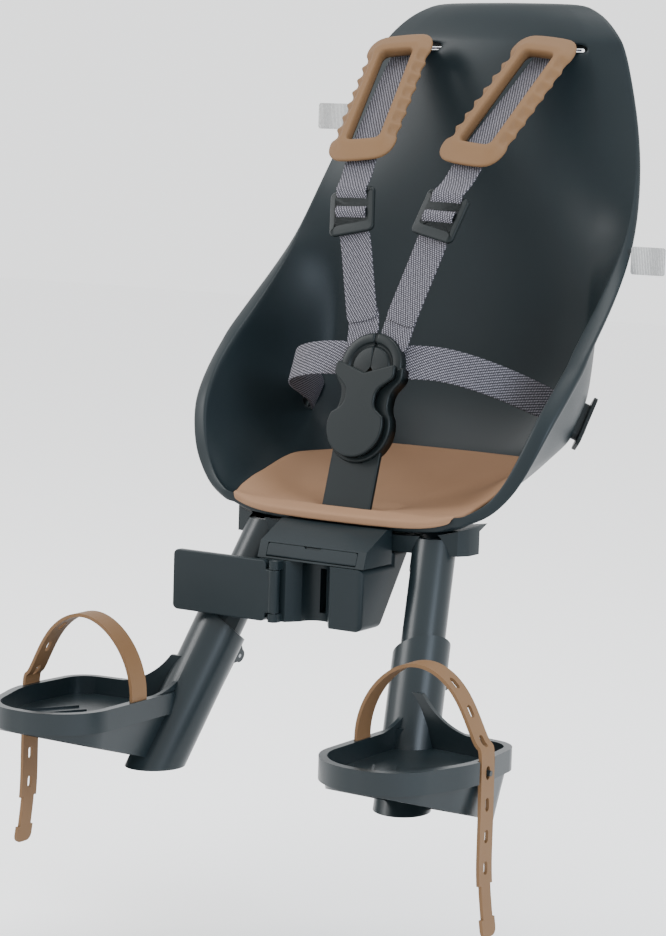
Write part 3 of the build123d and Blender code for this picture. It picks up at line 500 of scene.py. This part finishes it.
def shell_ring(section):
    """Points round one section: inner face, rim, outer face and the other rim."""
    half = inner_half_width(section)
    slope = section.fullness * section.depth / half
    length = sqrt(1 + slope**2)
    along = Vector((1 / length, slope / length))
    out = Vector((slope / length, -1 / length))
    edge = Vector((half, section.depth))
    points = [wall_point(section, half * share, 0) for share in inner_shares]
    points += [edge + out * section.lip * reach + along * rise for reach, rise in rim_steps]
    points.append(edge + out * shell_wall - along * lip_height)
    points += [wall_point(section, half * share, shell_wall) for share in outer_shares]
    points += [Vector((-point.x, point.y)) for point in reversed(points[1:-1])]
    return [in_space(section, point) for point in points]


shell_bm = bmesh.new()
shell_rings = [add_ring(shell_bm, shell_ring(section_at(row))) for row in shell_rows]
bridge_rings(shell_bm, shell_rings)
bmesh.ops.holes_fill(shell_bm, edges=shell_rings[0][1] + shell_rings[-1][1], sides=0)
print("shell cage faces:", len(shell_bm.faces))

# %% [markdown]
# The straps leave the bucket through slots. A Boolean would cut them too, but it leaves long thin
# faces that spoil a subdivision surface. So the same few faces of the inner and the outer skin are
# taken out, and the two open edges are bridged. The subdivision surface then rounds the slot's ends.

# %% Slots for the straps
shoulder_slot = (16.45, 16.75, 0.42, 0.76)
hip_slot = (7.4, 8.6, 0.785, 0.83)


def cut_slot(first_row, last_row, first_share, last_share, sign):
    """Open a slot between two rows and two shares of the half width, on one side."""
    count = len(shell_rings[0][0])
    taken = {"inner": [], "outer": []}
    for row in range(shell_rows.index(first_row), shell_rows.index(last_row)):
        below = shell_rings[row][0]
        above = shell_rings[row + 1][0]
        for column in range(inner_shares.index(first_share), inner_shares.index(last_share)):
            outer_column = len(inner_shares) + len(rim_steps) + len(outer_shares) - column
            for skin, start, step in (("inner", column, 1), ("outer", outer_column, -1)):
                near = sign * start % count
                far = sign * (start + step) % count
                corners = {below[near], below[far], above[far], above[near]}
                taken[skin] += [face for face in below[near].link_faces if set(face.verts) == corners]
    open_edges = []
    for faces in taken.values():
        for face in faces:
            open_edges += [edge for edge in face.edges if sum(item in faces for item in edge.link_faces) == 1]
    bmesh.ops.delete(shell_bm, geom=taken["inner"] + taken["outer"], context="FACES")
    bmesh.ops.bridge_loops(shell_bm, edges=open_edges)
    print("slot of", len(taken["inner"]), "inner faces and", len(taken["outer"]), "outer faces")


for sign in sides.values():
    cut_slot(*shoulder_slot, sign)
    cut_slot(*hip_slot, sign)
bmesh.ops.recalc_face_normals(shell_bm, faces=shell_bm.faces)
seat_shell = place_piece(
    shell_bm, "seat_shell_moulded", shell_plastic, "seat", ("seat_shell",),
)
smooth_surface(seat_shell, 2)

# %% [markdown]
# ## Seat pad
# The pad is a moulded sheet of foam rubber that lies on the pan and hooks over its front edge. It
# keeps its shape, so it needs no cloth simulation, and it is lofted along the shell's own sections,
# thinner towards its sides, with a recess round the foot of the stalk.

# %% Sizes of the seat pad
pad_gap = 1.7
pad_thickness = 8.5
pad_edge = 4.0
pad_half_widths = (93, 97, 100, 102, 101, 98, 92, 72)
pad_side_shares = (0.6, 0.8, 0.94, 1)
pad_middle = 9
pad_rows = (0, 0.3, 0.6, 0.75, 1, 1.5, 2, 2.5, 3, 3.4, 3.6, 4, 5, 5.5, 6, 6.5, 6.85, 7)
recess_half_width = 22
recess_wall = 1.4
recess_depth = 5.2
recess_rows = (0.75, 3.4)


def pad_columns(half):
    """Distances across the pad, with a pair at each side of the recess."""
    outer = [recess_half_width, recess_half_width + recess_wall, *(share * half for share in pad_side_shares)]
    return [-column for column in reversed(outer)] + [-pad_middle, pad_middle] + outer


def pad_width_at(row):
    """Half width of the pad at a row."""
    index = min(int(row), len(pad_half_widths) - 2)
    low, high = pad_half_widths[index:index + 2]
    return low + (high - low) * (row - index)


def crowned(share):
    """Thickness of the pad at a share of its half width."""
    return pad_thickness - (pad_thickness - pad_edge) * share**4


def over_pan(section, column, height):
    """A point of the pad at a height over its underside."""
    return in_space(section, wall_point(section, column, -pad_gap - height))


print("pad is", 2 * max(pad_half_widths), "mm wide")

# %% [markdown]
# The front end bows forward and drops over the shell's edge in a few steps, each given by its reach,
# the drop of its top and the rise of its underside. This end is curved, so a single flat face can't
# close it: the upper and the lower half of the last ring are bridged to a strip of faces.

# %% Seat pad
front_steps = ((8.4, 6.6, 1.8), (8.2, 5.4, 0.6), (7, 4.4, 0), (3.5, 3.2, 0))
front_narrowing = 0.2
front_gap = 0.5
front_hook = 2.4
front_drop = 2.2

pad_bm = bmesh.new()
pad_rings = []
front_section = section_at(0)
for reach, top_drop, bottom_rise in front_steps:
    over = []
    under = []
    for column in pad_columns(pad_half_widths[0] - front_narrowing * reach):
        share = abs(column) / pad_half_widths[0]
        forward = Vector((0, reach * (share**2 - 1) - front_gap, 0))
        over.append(over_pan(front_section, column, crowned(share)) + forward - Vector((0, 0, top_drop)))
        under.append(over_pan(front_section, column, 0) + forward + Vector((0, 0, bottom_rise - front_hook)))
    pad_rings.append(add_ring(pad_bm, over + under[::-1]))
for row in pad_rows:
    section = section_at(row)
    half = pad_width_at(row)
    over = []
    under = []
    for column in pad_columns(half):
        thickness = crowned(column / half)
        if abs(column) <= recess_half_width and recess_rows[0] <= row <= recess_rows[1]:
            thickness -= recess_depth
        thickness -= front_drop * max(0, 1 - row) ** 2
        over.append(over_pan(section, column, thickness))
        under.append(over_pan(section, column, 0))
    pad_rings.append(add_ring(pad_bm, over + under[::-1]))
bridge_rings(pad_bm, pad_rings)
for end_ring in (pad_rings[0], pad_rings[-1]):
    half_count = len(end_ring[1]) // 2
    bmesh.ops.bridge_loops(pad_bm, edges=end_ring[1][1:half_count] + end_ring[1][half_count + 1:])
bmesh.ops.recalc_face_normals(pad_bm, faces=pad_bm.faces)
seat_pad = place_piece(pad_bm, "seat_pad_foam", tan_foam, "seat", ("seat_pad",))
smooth_surface(seat_pad, 2)
print("pad cage faces:", len(seat_pad.data.polygons))

# %% [markdown]
# ## Webbing
# A strap is a flat section carried along its route. A curve with a bevel could do it, but a curve
# twists by its own rule, and here the strap's width has to turn from one given direction to another.
# So each stop gets one ring of vertices, the rings are bridged, and a subdivision surface bends the
# strip between its stops. The UV map holds the distances across and along, for the weave.

# %% Webbing strips
webbing_width = 25
webbing_thickness = 1.6
strip_columns = (-1, -0.9, 0, 0.9, 1)


def webbing_strip(name, stops, across, replaced=()):
    """A woven strip through the stops, its width turned from one direction to another."""
    bm = bmesh.new()
    lay = {}
    points = [Vector(stop) for stop in stops]
    half_width = webbing_width / 2
    half_thickness = webbing_thickness / 2
    travelled = 0
    strip_rings = []
    for index, point in enumerate(points):
        before = points[max(index - 1, 0)]
        after = points[min(index + 1, len(points) - 1)]
        run = (after - before).normalized()
        wide = Vector(across[0]).lerp(Vector(across[1]), index / (len(points) - 1))
        aside = (wide - run * run.dot(wide)).normalized()
        outward = aside.cross(run)
        travelled += (point - before).length
        spots = [point + aside * half_width * column for column in strip_columns]
        front = [spot + outward * half_thickness for spot in spots]
        rear = [spot - outward * half_thickness for spot in reversed(spots)]
        ring = add_ring(bm, front + rear)
        for vert, column in zip(ring[0], (*strip_columns, *reversed(strip_columns))):
            lay[vert] = (half_width * column * MM, travelled * MM)
        strip_rings.append(ring)
    bridge_rings(bm, strip_rings)
    bmesh.ops.holes_fill(bm, edges=strip_rings[0][1] + strip_rings[-1][1], sides=0)
    bmesh.ops.recalc_face_normals(bm, faces=bm.faces)
    uv_layer = bm.loops.layers.uv.new("weave")
    for face in bm.faces:
        for loop in face.loops:
            loop[uv_layer].uv = lay[loop.vert]
    piece = place_piece(bm, name, webbing_cloth, "seat", replaced)
    smooth_surface(piece, 2)
    print(name, "length", round(travelled), "mm")


# %% [markdown]
# Each chest strap is sewn to a short fold at its tongue. From there it passes behind the slider's
# broad bar and turns back over its middle bar. A second run starts under the top bar, lies over it
# and goes up behind the shoulder pad to the slot in the back. The stops near the slider are given
# in the slider's own frame, by the way along it and the height over it.

# %% Chest straps
straight_across = ((1, 0, 0), (1, 0, 0))
slider_place = local_frame(Vector((37, 96, 263)), Vector((1, 0, 0)), Vector((20.8, 34, 85)))


def at_slider(*stops):
    """Stops in the slider's frame as points in space."""
    return [slider_place @ Vector((0, along, height)) for along, height in stops]


chest_runs = {
    "fold": [(13, 71, 165.2), (13.3, 75.4, 176), (15, 79, 187), (18.4, 82, 198)],
    "lower": [
        (15.3, 77, 186), (17, 78.5, 192), (19, 80, 199), (25, 85, 220), (31, 90.5, 241.5),
        *at_slider((-12, 0.2), (-5, 0), (3, -0.5)),
    ],
    "loop": at_slider((-5.6, -0.6), (-5.4, 2.6), (-4, 5), (-1, 6), (2, 5.6), (3.6, 3), (3.8, -0.6)),
    "upper": [
        *at_slider((5.8, -0.6), (7.5, 1), (11, 4.4), (15, 5.6), (19, 5.2)),
        (42.6, 106, 286), (45.8, 119, 305), (49.9, 140, 324), (53.9, 161, 343), (58, 182.5, 361.5),
        (61.5, 203, 380.5), (61, 214, 385), (60, 224, 386), (59, 241, 386),
    ],
}
for side, sign in sides.items():
    for run_name, stops in chest_runs.items():
        mirrored = [(sign * stop[0], stop[1], stop[2]) for stop in stops]
        stands_for = (f"{side}_chest_webbing",) if run_name == "upper" else ()
        webbing_strip(f"{side}_chest_strap_{run_name}", mirrored, straight_across, stands_for)

# %% [markdown]
# The waist straps start behind the buckle and leave through the slots at the hips. The right one is
# drawn tight round the bucket, and the left one hangs slack in a bow, so each has its own stops.

# %% Waist straps
width_at_buckle = (0, -0.25, -0.97)
width_at_hip = (0, -0.66, -0.75)
waist_runs = {
    "right": (
        (8, 73, 158), (20, 74, 159.5), (32, 78, 160), (46, 87, 159.5), (62, 102, 154), (78, 120, 146),
        (92, 140, 136), (102, 155, 128), (108, 165, 122), (112, 172, 118), (117, 179, 113),
    ),
    "left": (
        (-8, 73, 158), (-20, 71, 159.5), (-34, 68, 160), (-50, 65, 158.5), (-66, 68, 154.5),
        (-77, 80, 149), (-83, 97, 143), (-87, 116, 137), (-94, 138, 130), (-102, 155, 124),
        (-108, 165, 120.5), (-112, 172, 118), (-117, 179, 113),
    ),
}
for side, stops in waist_runs.items():
    widths = (width_at_buckle, width_at_hip)
    webbing_strip(f"{side}_waist_strap", stops, widths, (f"{side}_waist_webbing",))

# %% [markdown]
# ## Shoulder pads
# Each pad is a rubber frame round a long window. Its flanks are scooped in waves so that it bends,
# and its ends are plain and slope off to a thick lip. Cutting each scoop would take many Booleans,
# so the frame is drawn as rings from its back, round the outer edge and over the ridge down into the
# window, and waves pull the outer rings in and down.

# %% Rings of a shoulder pad
wave_count = 7
wave_zone = 47
points_per_wave = 6
ShoulderRing = namedtuple("ShoulderRing", "height half_width half_length corner scoop sink")
shoulder_rings = (
    ShoulderRing(1.7, 24, 65, 12, 0.5, 0),
    ShoulderRing(2.6, 26.6, 67.2, 14, 2.4, 0),
    ShoulderRing(5.0, 27, 67.5, 14, 3.2, 0.8),
    ShoulderRing(5.6, 26.4, 67, 13.5, 3.4, 1.2),
    ShoulderRing(7.6, 21.5, 59.5, 10, 1.4, 2.2),
    ShoulderRing(8.8, 19.4, 55.5, 7, 0.2, 0.4),
    ShoulderRing(9.2, 17.6, 53.5, 6, 0, 0),
    ShoulderRing(9.0, 14.4, 49.5, 5, 0, 0),
    ShoulderRing(8.0, 13.2, 48.3, 4.2, 0, 0),
    ShoulderRing(-4.2, 12.8, 47.7, 4, 0, 0),
)


def waved_ring(height, half_width, half_length, corner, scoop, sink):
    """Points round a rounded frame, its long sides scooped in and sunk in waves."""
    steps = wave_count * points_per_wave
    reach = min(wave_zone, half_length - corner)
    ring = []
    for sign in (1, -1):
        for step in range(steps + 1):
            wave = abs(sin(pi * wave_count * step / steps))
            x = sign * (half_width - scoop * wave)
            y = sign * reach * (2 * step / steps - 1)
            ring.append((x, y, height - sink * wave))
        for corner_x, start in ((sign, 0), (-sign, 90)):
            for degrees in (0, 30, 60, 90):
                angle = radians(start + degrees)
                x = corner_x * (half_width - corner) + sign * corner * cos(angle)
                ring.append((x, sign * (half_length - corner + corner * sin(angle)), height))
    return ring


print("points round a shoulder pad:", len(waved_ring(*shoulder_rings[0])))

# %% [markdown]
# The last ring is bridged back to the first one, which closes the frame round its window. The pad is
# drawn flat and carried to its place between two points of the strap. One level of subdivision is
# enough, and it keeps the waves crisp.

# %% Shoulder pads
for side, sign in sides.items():
    lower_end = Vector((sign * 45.8, 119, 305))
    upper_end = Vector((sign * 62, 200, 384))
    pad_place = local_frame((lower_end + upper_end) / 2, Vector((1, 0, 0)), upper_end - lower_end)
    shoulder_bm = bmesh.new()
    shoulder_layers = []
    for layer in shoulder_rings:
        points = [pad_place @ Vector(point) for point in waved_ring(*layer)]
        shoulder_layers.append(add_ring(shoulder_bm, points))
    bridge_rings(shoulder_bm, shoulder_layers + shoulder_layers[:1])
    bmesh.ops.recalc_face_normals(shoulder_bm, faces=shoulder_bm.faces)
    shoulder_pad = place_piece(
        shoulder_bm, f"{side}_shoulder_rubber", tan_rubber, "seat", (f"{side}_shoulder_pad",),
    )
    smooth_surface(shoulder_pad, 1)
    print(shoulder_pad.name, "cage faces:", len(shoulder_pad.data.polygons))

# %% [markdown]
# ## Sliders
# A slider is a moulded frame with one window and a bar across it that the webbing turns round. The
# frame is drawn with the same kind of rings as the pads, which lets its inner and outer edges have
# their own radius, and the bar is a round rod. Both sliders come from one drawing, the left mirrored.

# %% Sliders
bar_radius = 1.8
bar_length = 28
bar_middle = (0, -0.8, 2.6)
SliderRing = namedtuple("SliderRing", "height half_width half_length corner shift")
slider_rings = (
    SliderRing(1.2, 17.6, 16.8, 4, 0),
    SliderRing(1.6, 18, 17.25, 4, 0),
    SliderRing(3.6, 18, 17.25, 4, 0),
    SliderRing(4.4, 17, 16.2, 3.5, 0),
    SliderRing(4.4, 14, 12, 2.6, 2.2),
    SliderRing(3.8, 13.2, 10.6, 2.2, 2.2),
    SliderRing(1.2, 13.2, 10.6, 2.2, 2.2),
)


def rounded_box(height, half_width, half_length, corner, shift):
    """Points round a rectangle with round corners, shifted along."""
    ring = []
    for x_sign, y_sign, start in ((1, 1, 0), (-1, 1, 90), (-1, -1, 180), (1, -1, 270)):
        for degrees in (0, 22.5, 45, 67.5, 90):
            angle = radians(start + degrees)
            x = x_sign * (half_width - corner) + corner * cos(angle)
            ring.append((x, shift + y_sign * (half_length - corner) + corner * sin(angle), height))
    return ring


for side, sign in sides.items():
    slider_bm = bmesh.new()
    slider_layers = [add_ring(slider_bm, rounded_box(*layer)) for layer in slider_rings]
    bridge_rings(slider_bm, slider_layers + slider_layers[:1])
    bar_turn = Matrix.Translation(bar_middle) @ Matrix.Rotation(radians(90), 4, "Y")
    bmesh.ops.create_cone(
        slider_bm, cap_ends=True, segments=16, radius1=bar_radius, radius2=bar_radius, depth=bar_length,
        matrix=bar_turn,
    )
    bmesh.ops.transform(slider_bm, matrix=slider_place, verts=slider_bm.verts)
    bmesh.ops.scale(slider_bm, vec=(sign, 1, 1), verts=slider_bm.verts)
    bmesh.ops.recalc_face_normals(slider_bm, faces=slider_bm.faces)
    slider = place_piece(
        slider_bm, f"{side}_slider_frame", buckle_plastic, "seat", (f"{side}_slider",),
    )
    even_shading(slider)
    print(slider.name, "faces:", len(slider.data.polygons))

# %% [markdown]
# ## Buckle
# The buckle is drawn in its own frame, which leans back with the stalk. Its press plate is a Y with
# a round foot, on a housing of the same shape that is a little larger. A plate starts as a flat
# outline: some corners are rounded, it is pulled up to its thickness, and its front edge is rolled.
# Rounding the corners before the pull keeps them smooth right through the plate.


# %% A flat plate
def plate(outline, rounded_corners, back_height, front_height, edge_radius):
    """A flat plate with some of its corners rounded and its front edge rolled."""
    bm = bmesh.new()
    verts, edges = add_ring(bm, [(x, y, back_height) for x, y in outline])
    bmesh.ops.contextual_create(bm, geom=edges)
    for index, radius in rounded_corners:
        bmesh.ops.bevel(
            bm, geom=[verts[index]], offset=radius, offset_type="OFFSET", segments=5, profile=0.5,
            affect="VERTICES", clamp_overlap=True, material=-1,
        )
    raised = bmesh.ops.extrude_face_region(bm, geom=bm.faces[:], use_keep_orig=True)["geom"]
    lifted = [item for item in raised if isinstance(item, bmesh.types.BMVert)]
    bmesh.ops.translate(bm, vec=(0, 0, front_height - back_height), verts=lifted)
    bmesh.ops.recalc_face_normals(bm, faces=bm.faces)
    just_behind = front_height - 0.01
    front_edges = [edge for edge in bm.edges if all(vert.co.z > just_behind for vert in edge.verts)]
    round_edges(bm, front_edges, edge_radius, segments=3)
    return bm


# %% [markdown]
# Both plates of the buckle share one outline, with widths of their own for horns, neck and foot. It
# is drawn for one side and mirrored. The foot is an arc, and the corners at horns and neck get their
# radius by their place in the outline.

# %% Buckle plates
buckle_lean = radians(17.3)
stalk_way = Vector((0, sin(buckle_lean), cos(buckle_lean)))
buckle_place = local_frame(Vector((0, 38, 54)), Vector((1, 0, 0)), stalk_way)
horn_top, horn_foot = 107, 97
neck_top, neck_foot = 87, 75
horn_flare, neck_flare = 1, 0.2
foot_middle = 60
foot_arc = range(22, -90, -7)
horn_and_neck_radii = (2.5, 3, 4, 4)


def buckle_outline(horn, neck, foot, notch):
    """A Y with two horns, a neck and a round foot, and a notch between the horns."""
    half = [(horn, horn_top), (horn + horn_flare, horn_foot)]
    half += [(neck + neck_flare, neck_top), (neck, neck_foot)]
    for degrees in foot_arc:
        angle = radians(degrees)
        half.append((foot * cos(angle), foot_middle + foot * sin(angle)))
    mirrored = [(-x, y) for x, y in reversed(half)]
    return [*half, *mirrored, (0, notch)]


def buckle_plate(name, body, node, outline, back_height, front_height, edge_radius):
    """Place a plate with the buckle's outline on a body."""
    last = len(outline) - 2
    right_corners = list(enumerate(horn_and_neck_radii))
    left_corners = [(last - index, radius) for index, radius in right_corners]
    bm = plate(outline, right_corners + left_corners, back_height, front_height, edge_radius)
    bmesh.ops.transform(bm, matrix=buckle_place, verts=bm.verts)
    piece = place_piece(bm, name, buckle_plastic, body, (node,))
    even_shading(piece)
    print(name, "faces:", len(piece.data.polygons))


buckle_plate("buckle_body", "seat", "buckle_housing", buckle_outline(27, 20, 25.5, 96), -4.5, 5.2, 1.8)
buckle_plate("buckle_press_plate", "button", "buckle_button", buckle_outline(24, 12.2, 23, 99), 8, 12, 1.4)

# %% [markdown]
# The two tongues make a half moon with an arched groove. A tongue is a turned form, so its profile
# is spun round the middle of the moon, from the seam down behind the plate's horn. The profile is
# given by its reach from the middle and its height, and the groove is the dip in it.

# %% Tongues
tongue_profile = (
    (0.2, 4.3), (13.6, 4.7), (14.8, 4.0), (15.2, 2.4), (17.4, 2.4), (17.9, 4.4), (19, 5.1), (23.4, 5.1),
    (24.7, 4.2), (25.2, 2.6), (25.2, -2.4), (24, -3.5), (0.2, -3.5),
)
tongue_middle = Vector((0, 105, 0))
tongue_arc = 150
tongue_steps = 24
half_seam = 0.2
for side, sign in sides.items():
    tongue_bm = bmesh.new()
    start = [tongue_middle + Vector((0, reach, height)) for reach, height in tongue_profile]
    bmesh.ops.contextual_create(tongue_bm, geom=add_ring(tongue_bm, start)[1])
    bmesh.ops.spin(
        tongue_bm, geom=tongue_bm.verts[:] + tongue_bm.edges[:] + tongue_bm.faces[:], cent=tongue_middle,
        axis=(0, 0, -sign), angle=radians(tongue_arc), steps=tongue_steps, use_duplicate=False,
    )
    bmesh.ops.translate(tongue_bm, vec=(sign * half_seam, 0, 0), verts=tongue_bm.verts)
    bmesh.ops.transform(tongue_bm, matrix=buckle_place, verts=tongue_bm.verts)
    bmesh.ops.recalc_face_normals(tongue_bm, faces=tongue_bm.faces)
    tongue = place_piece(
        tongue_bm, f"{side}_tongue_moon", buckle_plastic, "seat", (f"{side}_tongue",),
    )
    even_shading(tongue)
    print(tongue.name, "faces:", len(tongue.data.polygons))

# %% [markdown]
# ## Floor and light
# The seat is shown as in a studio: a pale floor, a white room and large soft lamps, so that the
# dark plastic gets long gentle highlights. Sizes here are in metres. The floor lies below the foot
# straps' ends at the trays' lowest place.

# %% Floor
floor_level = -0.265
floor_half_width = 6
floor_bm = bmesh.new()
bmesh.ops.create_grid(floor_bm, x_segments=1, y_segments=1, size=floor_half_width)
bmesh.ops.translate(floor_bm, vec=(0, 0, floor_level), verts=floor_bm.verts)
floor_mesh = bpy.data.meshes.new("floor")
floor_bm.to_mesh(floor_mesh)
floor_bm.free()
floor = bpy.data.objects.new("floor", floor_mesh)
bpy.context.scene.collection.objects.link(floor)
floor_paint, _, floor_shader = new_material("white_studio_paint")
floor_shader.inputs["Base Color"].default_value = linear("#fafafa")
floor_shader.inputs["Roughness"].default_value = 0.8
floor_mesh.materials.append(floor_paint)
print("floor at", floor_level)

# %% [markdown]
# The white room gives most of the light and hardly any shadow. Three square lamps add the form: one
# from the seat's left, a cool one from its right, which tints the plastic a little, and one above.

# %% Room and lamps
room_strength = 1.9
world = bpy.data.worlds.new("studio")
world.use_nodes = True
world.node_tree.nodes["Background"].inputs["Color"].default_value = linear("#fbfcfd")
world.node_tree.nodes["Background"].inputs["Strength"].default_value = room_strength
bpy.context.scene.world = world


def soft_lamp(name, place, target, size, power, tint):
    """A square lamp of a given size and tint that faces a target."""
    data = bpy.data.lights.new(name, "AREA")
    data.size = size
    data.energy = power
    data.color = linear(tint)[:3]
    lamp = bpy.data.objects.new(name, data)
    bpy.context.scene.collection.objects.link(lamp)
    lamp.location = place
    lamp.rotation_mode = "QUATERNION"
    lamp.rotation_quaternion = (Vector(target) - Vector(place)).to_track_quat("-Z", "Y")


seat_middle = (0, 0.05, 0.15)
soft_lamp("key_lamp", (-1.8, -1.2, 1.5), seat_middle, 1.0, 45, "#ffffff")
soft_lamp("fill_lamp", (2.1, -0.7, 1.0), seat_middle, 0.9, 45, "#dcecff")
soft_lamp("top_lamp", (0.2, 0.2, 2.2), seat_middle, 1.0, 25, "#ffffff")
print("lamps:", [lamp.name for lamp in bpy.data.lights])
